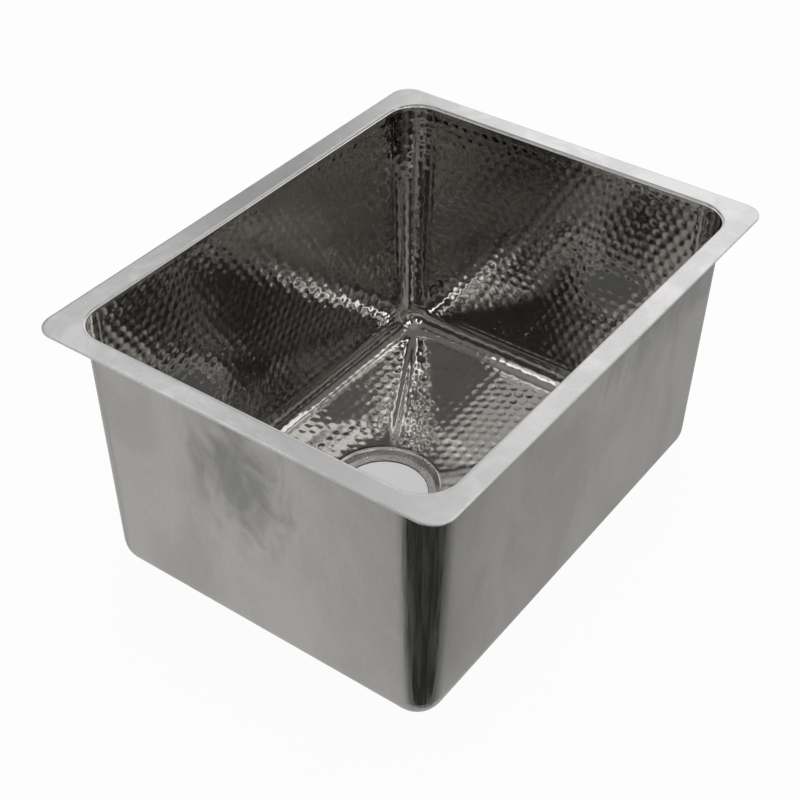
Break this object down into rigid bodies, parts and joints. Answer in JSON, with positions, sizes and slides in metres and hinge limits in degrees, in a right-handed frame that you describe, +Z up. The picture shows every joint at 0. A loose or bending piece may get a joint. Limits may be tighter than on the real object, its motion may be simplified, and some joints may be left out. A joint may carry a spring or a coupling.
{
  "type": "undermount kitchen sink",
  "caption": "Deep rectangular undermount sink of hammered stainless sheet with a flat rim, leaning walls, an X-creased floor and a recessed drain hole.",
  "frame": {"origin": "under the middle of the rim, on the surface that the drain cup stands on", "axes": "+X to the right along the long side, +Y to the rear, towards the side that the drain is nearer, +Z up"},
  "size_m": [0.54, 0.42, 0.2923],
  "materials": {
    "satin_steel": "satin brushed, slightly wavy",
    "hammered_steel": "hammered and polished inside, satin brushed outside",
    "polished_steel": "smooth pressed and polished"
  },
  "bodies": {
    "root": {"rim_flange": "satin_steel", "front_wall": "hammered_steel", "rear_wall": "hammered_steel", "left_wall": "hammered_steel", "right_wall": "hammered_steel", "front_left_corner": "hammered_steel", "front_right_corner": "hammered_steel", "rear_left_corner": "hammered_steel", "rear_right_corner": "hammered_steel", "floor_pan": "hammered_steel", "drain_cup": "polished_steel"}
  },
  "joints": []
}
